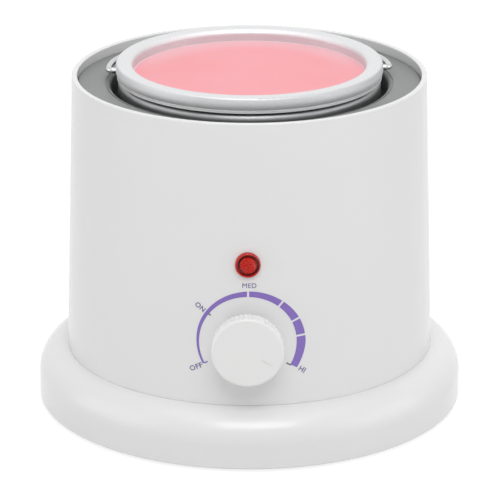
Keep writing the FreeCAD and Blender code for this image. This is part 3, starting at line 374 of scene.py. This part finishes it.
def spunFinish(look):
    material, tree = newMaterial(look["name"])
    place = objectPlace(tree)
    radius = axisDistance(tree, place, (1, 1, 0))
    height = addNode(tree, "ShaderNodeSeparateXYZ", links={0: place}).outputs["Z"]
    profile = addNode(tree, "ShaderNodeCombineXYZ", links={0: radius, 1: height}).outputs[0]
    speck = mottle(tree, place, look["speck"], detail=4.0)
    rings = mottle(tree, profile, look["ring"], detail=3.0, noise_dimensions="2D")
    colour = blend(tree, speck, look["base"], look["tone"])
    # a wax film with painted shade and painted reflection on the pot's inner wall
    if "waxFilmAndShade" in look:
        colour = blend(tree, remap(tree, radius, inMetres(look["waxFilmAndShadeReach"])), look["waxFilmAndShade"], colour)
    # painted shade and painted light on the outside of the rim
    if "band" in look:
        colour = paintedRimShading(tree, look, colour, radius, height)
    makeSurface(tree, colour, roughness(tree, speck, look), {"Metallic": 1.0}, rings, look["depth"])
    return material


finishOf = {slot: plainFinish(look) for slot, look in finishes.items()}
finishOf.update({slot: spunFinish(look) for slot, look in spunFinishes.items()})
print("stage finishes", len(finishOf))


def spinProfile(points, steps, bm):
    # turns a profile of (radius, height) in mm round the Z axis
    verts = [bm.verts.new((radius * mm, 0, height * mm)) for radius, height in points]
    edges = [bm.edges.new(pair) for pair in zip(verts, verts[1:])]
    bmesh.ops.spin(bm, geom=verts + edges, cent=(0, 0, 0), axis=(0, 0, 1), angle=math.tau, steps=steps,
                   use_merge=True)
    bmesh.ops.remove_doubles(bm, verts=bm.verts, dist=weld)
    bmesh.ops.recalc_face_normals(bm, faces=bm.faces)


def arc(centre, radius, start, end, steps):
    # points on a circle, angles in degrees from the radial direction
    points = []
    for k in range(steps + 1):
        angle = math.radians(start + (end - start) * k / steps)
        points.append((centre[0] + radius * math.cos(angle), centre[1] + radius * math.sin(angle)))
    return points


def cut(bm, point, outward, clear=False):
    # cuts along a plane, and drops what lies outside it where clear is set
    bmesh.ops.bisect_plane(bm, geom=bm.verts[:] + bm.edges[:] + bm.faces[:], dist=sliver, plane_co=point,
                           plane_no=outward, clear_outer=clear)


# Wax: a cast block in the pot, in mm, with an edge that wets the wall
wax = {
    "radius": 59.2, "floor": 90.1, "corner": 5.0, "top": 173.7,
    "climb": 0.25,              # how far it wets the pot's wall
    "wet": 2.4,                 # width of that edge
    "wetCurve": 2.5,            # the higher, the later the edge turns up
    "cling": 0.12,              # how far the very edge reaches out to the wall
    "swell": 0.10,              # height of its slow unevenness
    "swellSize": 34.0,
    "calm": 12.0,               # width of the ring inside the edge where that dies out
    "skin": 1.0,                # what lies less than this under the top belongs to it
    "sideDrop": 4.0,            # how far under the top the side has a ring of points
    "steps": 192, "cornerSteps": 6, "wetSteps": 14, "topRings": 22,
    "base": "#F2939A", "tone": "#F29BA4", "toneSize": 45.0,
    "patches": (0.4, 0.65),     # the part of the pattern between pure base and pure tone
    "edge": "#F8CDD1", "paintedEdgeLightWidth": 1.0,        # painted highlight: a paler line all round where it touches the wall
    "paintedBackSheen": "#F3B8BF", "paintedSheenReach": 19.0,       # painted reflection: paler towards the wall at the back of the pot
    "paintedSheenFrom": -5.0, "paintedSheenTo": 35.0,
    "rough": (0.24, 0.4), "ripple": 5.0, "rippleDepth": 0.02, "ior": 1.44,
    "scatter": 0.25, "scatterColour": (1.0, 0.45, 0.4), "scatterDepth": 3.0,
}


def waxFinish():
    # Soft paraffin with rosin: pink and glossy with a faint mottle, and light sinks in a little
    material, tree = newMaterial("castWax")
    place = objectPlace(tree)
    wall = wax["radius"]
    radius = axisDistance(tree, place, (1, 1, 0))
    backward = addNode(tree, "ShaderNodeSeparateXYZ", links={0: place}).outputs["Y"]
    cloud = mottle(tree, place, wax["toneSize"], detail=3.0)
    ripple = mottle(tree, place, wax["ripple"], detail=2.0)
    # where the painted reflection lies: near the wall, at the back
    sheenNearWall = remap(tree, radius, inMetres((wall - wax["paintedSheenReach"], wall)), smooth=True)
    sheenAtBack = remap(tree, backward, inMetres((wax["paintedSheenFrom"], wax["paintedSheenTo"])), smooth=True)
    edgeLightShare = remap(tree, radius, inMetres((wall - wax["paintedEdgeLightWidth"], wall)), smooth=True)
    colour = blend(tree, remap(tree, cloud, wax["patches"]), wax["base"], wax["tone"])
    # painted reflection: paler near the wall at the back of the pot
    colour = blend(tree, calculate(tree, "MULTIPLY", sheenNearWall, sheenAtBack), colour, wax["paintedBackSheen"])
    # painted highlight along the wax's edge at the wall
    colour = blend(tree, edgeLightShare, colour, wax["edge"])
    values = {"IOR": wax["ior"], "Subsurface Weight": wax["scatter"], "Subsurface Radius": wax["scatterColour"],
              "Subsurface Scale": wax["scatterDepth"] * mm}
    makeSurface(tree, colour, roughness(tree, cloud, wax), values, ripple, wax["rippleDepth"])
    return material


def makeWax():
    radius, corner, floor, top = wax["radius"], wax["corner"], wax["floor"], wax["top"]
    profile = [(0, floor), (radius / 2, floor)]
    profile += arc((radius - corner, floor + corner), corner, -90, 0, wax["cornerSteps"])
    profile.append((radius, top - wax["sideDrop"]))
    outer = radius + wax["cling"]
    inner = outer - wax["wet"]
    for k in range(wax["wetSteps"] + 1):
        inward = k / wax["wetSteps"]
        profile.append((outer - wax["wet"] * inward, top + wax["climb"] * (1 - inward) ** wax["wetCurve"]))
    profile += [(inner * (1 - k / wax["topRings"]), top) for k in range(1, wax["topRings"] + 1)]
    bm = bmesh.new()
    spinProfile(profile, wax["steps"], bm)
    for vert in bm.verts:
        if vert.co.z > (top - wax["skin"]) * mm:
            reach = math.hypot(vert.co.x, vert.co.y) / mm
            hold = 1 - min(1, max(0, (reach - inner + wax["calm"]) / wax["calm"]))
            place = Vector((vert.co.x, vert.co.y, 0)) / (wax["swellSize"] * mm)
            vert.co.z += wax["swell"] * mm * noise.noise(place) * hold
    piece = newPiece("pinkWax", bm, [waxFinish()])
    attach(piece, "pot")
    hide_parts("wax_fill")


makeWax()
print("stage wax")


# The shell's outside, which the lamp sits in and the dial is printed on, mm
shell = {"lip": 90.4, "flare": 4.6, "top": 174.0, "height": 144.5}


def shellRadius(height):
    return shell["lip"] + shell["flare"] * (shell["top"] - height) / shell["height"]


def layOnShell(bm, lift):
    # moves a thin drawing in X and Z on to the front of the shell
    for vert in bm.verts:
        radius = shellRadius(vert.co.z / mm) * mm
        vert.co.y -= math.sqrt(radius ** 2 - vert.co.x ** 2) + lift * mm


# Pilot lamp's lens: a flange, a groove with painted shade in it and a domed window of small pyramids, mm
lens = {
    "height": 103.0, "seat": 0.5,           # axis over the table, and how deep the flange sits in the shell
    "flange": 6.2, "wall": 2.6, "edge": 0.6, "edgeSteps": 5,
    "groove": 5.3, "grooveDepth": 1.6,
    "window": 4.3, "rise": 1.1,
    "sink": 0.3,            # how far the window starts behind the flange's front
    "plate": 0.6,           # its thickness
    "cells": 8, "pyramid": 0.5, "turn": 35.0,
    "spare": 0.4,           # how far the pyramids first reach past the window
    "trim": 0.1, "sides": 40,               # they are cut back to this far inside it, with so many cuts
    "tube": 4.9, "tubeLength": 10.0, "bore": 3.2, "front": 1.4, "steps": 64,
    "sharp": 25.0,          # degrees from which an edge looks sharp
    "shade": 0.45,          # how far the painted shade in the groove lies up and to the right
    "base": "#B4120A", "tone": "#CE2C1E", "paintedGrooveShade": "#560A06", "toneSize": 1.3,
    "rough": (0.06, 0.2), "ior": 1.58, "specular": 0.25,
}


def lensFinish():
    # Moulded polycarbonate, dyed red: clear and glossy, with painted shade in the groove, thicker up and to the
    # right
    material, tree = newMaterial("redPolycarbonate")
    place = objectPlace(tree)
    cloud = mottle(tree, place, lens["toneSize"], detail=2.0)
    centre = (-lens["shade"] * mm, 0, -(lens["height"] + lens["shade"]) * mm)
    fromCentre = addNode(tree, "ShaderNodeVectorMath", {1: centre}, {0: place}, operation="ADD").outputs[0]
    middle = (lens["window"] + lens["groove"]) / 2 * mm
    half = (lens["groove"] - lens["window"]) / 2 * mm
    radius = axisDistance(tree, fromCentre, (1, 0, 1))
    grooveShadeMask = addNode(tree, "ShaderNodeMath", {1: middle, 2: half}, {0: radius}, operation="COMPARE")
    colour = blend(tree, cloud, lens["base"], lens["tone"])
    # painted shade in the groove
    colour = blend(tree, grooveShadeMask.outputs[0], colour, lens["paintedGrooveShade"])
    values = {"IOR": lens["ior"], "Specular IOR Level": lens["specular"]}
    makeSurface(tree, colour, roughness(tree, cloud, lens), values)
    return material


def makeLens():
    wall, window, groove, flange, edge = (lens[name] for name in ("wall", "window", "groove", "flange", "edge"))
    bm = bmesh.new()
    half = (window + lens["spare"]) * mm
    bmesh.ops.create_grid(bm, x_segments=lens["cells"], y_segments=lens["cells"], size=half)
    bmesh.ops.poke(bm, faces=bm.faces[:], offset=lens["pyramid"] * mm)
    turn = Matrix.Rotation(math.radians(lens["turn"]), 3, "Z")
    bmesh.ops.rotate(bm, verts=bm.verts, cent=(0, 0, 0), matrix=turn)
    for k in range(lens["sides"]):
        angle = math.tau * k / lens["sides"]
        outward = Vector((math.cos(angle), math.sin(angle), 0))
        cut(bm, outward * (window - lens["trim"]) * mm, outward, clear=True)
    for vert in bm.verts:
        reach = math.hypot(vert.co.x, vert.co.y) / mm / window
        vert.co.z += (wall - lens["sink"] + lens["rise"] * (1 - reach ** 2)) * mm
    bmesh.ops.solidify(bm, geom=bm.faces[:], thickness=lens["plate"] * mm)
    boreEnd, grooveFloor, windowFoot = wall - lens["front"], wall - lens["grooveDepth"], wall - lens["sink"]
    profile = [(0, boreEnd), (lens["bore"], boreEnd), (lens["bore"], -lens["tubeLength"]),
               (lens["tube"], -lens["tubeLength"]), (lens["tube"], 0), (flange, 0)]
    profile += arc((flange - edge, wall - edge), edge, 0, 90, lens["edgeSteps"])
    profile += [(groove, wall), (groove, grooveFloor), (window, grooveFloor),
                (window, windowFoot), (0, windowFoot)]
    spinProfile(profile, lens["steps"], bm)
    seat = -(shellRadius(lens["height"]) - lens["seat"])
    front = Matrix.Translation((0, seat * mm, lens["height"] * mm)) @ Matrix.Rotation(math.radians(90), 4, "X")
    bmesh.ops.transform(bm, verts=bm.verts, matrix=front)
    piece = newPiece("pilotLens", bm, [lensFinish()])
    piece.data.set_sharp_from_angle(angle=math.radians(lens["sharp"]))
    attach(piece, "housing")
    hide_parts("lamp_lens")


makeLens()
print("stage lens")


# Dial: a pad-printed band that widens from OFF to HI, with ticks and words. Angles are clockwise from the top,
# in degrees, and turns of the words anticlockwise. Sizes are in mm.
dial = {
    "height": 62.3,             # of the knob's axis
    "inner": 24.1,
    "draft": 1.0,               # width of the band before it gets its shape
    "steps": 160,
    "widths": ((-117.5, 1.0), (-87.0, 1.3), (0.0, 2.8), (39.0, 3.4), (64.0, 4.05), (90.0, 4.45), (119.3, 3.7)),
    "gaps": (0.3, 39.0, 64.2, 83.3),
    "gapWidth": 1.0,
    "ticks": (                  # ink 0 is violet and 1 is grey
        {"angle": -117.4, "reach": (22.3, 24.4), "width": 0.7, "ink": 0},
        {"angle": -52.8, "reach": (22.9, 24.3), "width": 0.75, "ink": 1},
        {"angle": 119.7, "reach": (21.9, 24.6), "width": 0.7, "ink": 1},
    ),
    "labels": (                 # bold is how much the letters are thickened
        {"text": "OFF", "place": (-25.64, -13.74), "turn": 25.0, "size": 3.65, "spacing": 1.1, "bold": 0.045},
        {"text": "ON", "place": (-23.46, 17.71), "turn": -40.0, "size": 3.5, "spacing": 1.05, "bold": 0.045},
        {"text": "MED", "place": (0.74, 29.8), "turn": 0.0, "size": 3.5, "spacing": 1.05, "bold": 0.0},
        {"text": "HI", "place": (26.87, -15.04), "turn": -32.0, "size": 3.7, "spacing": 1.05, "bold": 0.045},
    ),
    "lift": 0.05, "ink": 0.04,  # top of the print over the shell, and its thickness
    "weld": 0.0005,             # points of the print that lie closer than this become one
    "inks": {"violet": ("#8A71C0", "#8269B8"), "grey": ("#6E6A78", "#66626F"), "letter": ("#6C5F98", "#64578F")},
    "toneSize": 0.7, "rough": (0.4, 0.6), "ior": 1.48,
}


def inkFinish(name):
    # Two-part pad ink: matt, a little uneven where the pad lifted off
    material, tree = newMaterial(name + "Ink")
    patch = mottle(tree, objectPlace(tree), dial["toneSize"], detail=3.0)
    base, tone = dial["inks"][name]
    colour = blend(tree, patch, base, tone)
    makeSurface(tree, colour, roughness(tree, patch, dial), {"IOR": dial["ior"]})
    return material


def dialPoint(angle, radius):
    turn = math.radians(angle)
    return Vector((radius * math.sin(turn), 0, radius * math.cos(turn))) * mm


def standUp(angle):
    # turns a flat drawing to face the front, and then clockwise
    return Matrix.Rotation(math.radians(angle), 4, "Y") @ Matrix.Rotation(math.radians(90), 4, "X")


def bandWidth(angle):
    # width of the band at an angle, between the measured places
    for (before, thin), (after, thick) in zip(dial["widths"], dial["widths"][1:]):
        if angle <= after:
            return thin + (thick - thin) * max(0, angle - before) / (after - before)
    return dial["widths"][-1][1]


def makeDialBand(bm):
    start, end = dial["widths"][0][0], dial["widths"][-1][0]
    inner = bm.verts.new(dialPoint(start, dial["inner"]))
    outer = bm.verts.new(dialPoint(start, dial["inner"] + dial["draft"]))
    edge = bm.edges.new((inner, outer))
    bmesh.ops.spin(bm, geom=[inner, outer, edge], cent=(0, 0, 0), axis=(0, 1, 0),
                   angle=math.radians(end - start), steps=dial["steps"])
    for vert in bm.verts:
        reach = vert.co.length / mm
        if reach > dial["inner"] + dial["draft"] / 2:
            angle = math.degrees(math.atan2(vert.co.x, vert.co.z))
            vert.co *= (dial["inner"] + bandWidth(angle)) / reach
    half = dial["gapWidth"] / 2 * mm
    for gap in dial["gaps"]:
        along, across = dialPoint(gap, 1).normalized(), dialPoint(gap + 90, 1).normalized()
        for side in (-half, half):
            cut(bm, across * side, across)
        inGap = []
        for face in bm.faces:
            middle = face.calc_center_median()
            if abs(middle.dot(across)) < half and middle.dot(along) > 0:
                inGap.append(face)
        bmesh.ops.delete(bm, geom=inGap, context="FACES")


def makeDialTicks(bm):
    for tick in dial["ticks"]:
        start, end = tick["reach"]
        middle = dialPoint(tick["angle"], (start + end) / 2)
        stretch = Matrix.Diagonal((tick["width"] * mm, (end - start) * mm, 1, 1))
        place = Matrix.Translation(middle) @ standUp(tick["angle"]) @ stretch
        # a square of 1 by 1, stretched to the tick
        grid = bmesh.ops.create_grid(bm, x_segments=2, y_segments=2, size=0.5, matrix=place)
        for vert in grid["verts"]:
            for face in vert.link_faces:
                face.material_index = tick["ink"]


def thickenDial(bm):
    grown = bmesh.ops.extrude_face_region(bm, geom=bm.faces[:], use_keep_orig=True)
    verts = [item for item in grown["geom"] if isinstance(item, bmesh.types.BMVert)]
    bmesh.ops.translate(bm, verts=verts, vec=(0, dial["ink"] * mm, 0))


def makeDialLabels(bm):
    for label in dial["labels"]:
        text = bpy.data.curves.new("dialText", "FONT")
        text.body = label["text"]
        text.size = label["size"] * mm
        text.space_character = label["spacing"]
        text.offset = label["bold"] * mm
        text.extrude = dial["ink"] / 2 * mm
        text.align_x = "CENTER"
        text.align_y = "CENTER"
        holder = bpy.data.objects.new("dialText", text)
        bpy.context.scene.collection.objects.link(holder)
        bpy.context.view_layer.update()
        shape = bpy.data.meshes.new_from_object(holder.evaluated_get(bpy.context.evaluated_depsgraph_get()))
        bpy.data.objects.remove(holder)
        x, z = label["place"]
        shape.transform(Matrix.Translation((x * mm, 0, z * mm)) @ standUp(-label["turn"]))
        bm.from_mesh(shape)
        bpy.data.meshes.remove(shape)


def makeDialPiece(name, steps, inks):
    bm = bmesh.new()
    for step in steps:
        step(bm)
    bmesh.ops.translate(bm, verts=bm.verts, vec=(0, 0, dial["height"] * mm))
    layOnShell(bm, dial["lift"])
    bmesh.ops.remove_doubles(bm, verts=bm.verts, dist=dial["weld"] * mm)
    bmesh.ops.recalc_face_normals(bm, faces=bm.faces)
    piece = newPiece(name, bm, inks, smooth=False)
    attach(piece, "housing")


makeDialPiece("dialBand", (makeDialBand, makeDialTicks, thickenDial), [inkFinish("violet"), inkFinish("grey")])
makeDialPiece("dialLabels", (makeDialLabels,), [inkFinish("letter")])
print("stage dial")


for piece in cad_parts.values():
    slot = piece.material_slots[0].material.name
    if slot in finishOf:        # the wax and the lens are pieces of their own
        piece.material_slots[0].material = finishOf[slot]

bpy.context.scene.view_settings.view_transform = "Standard"
print("stage done")
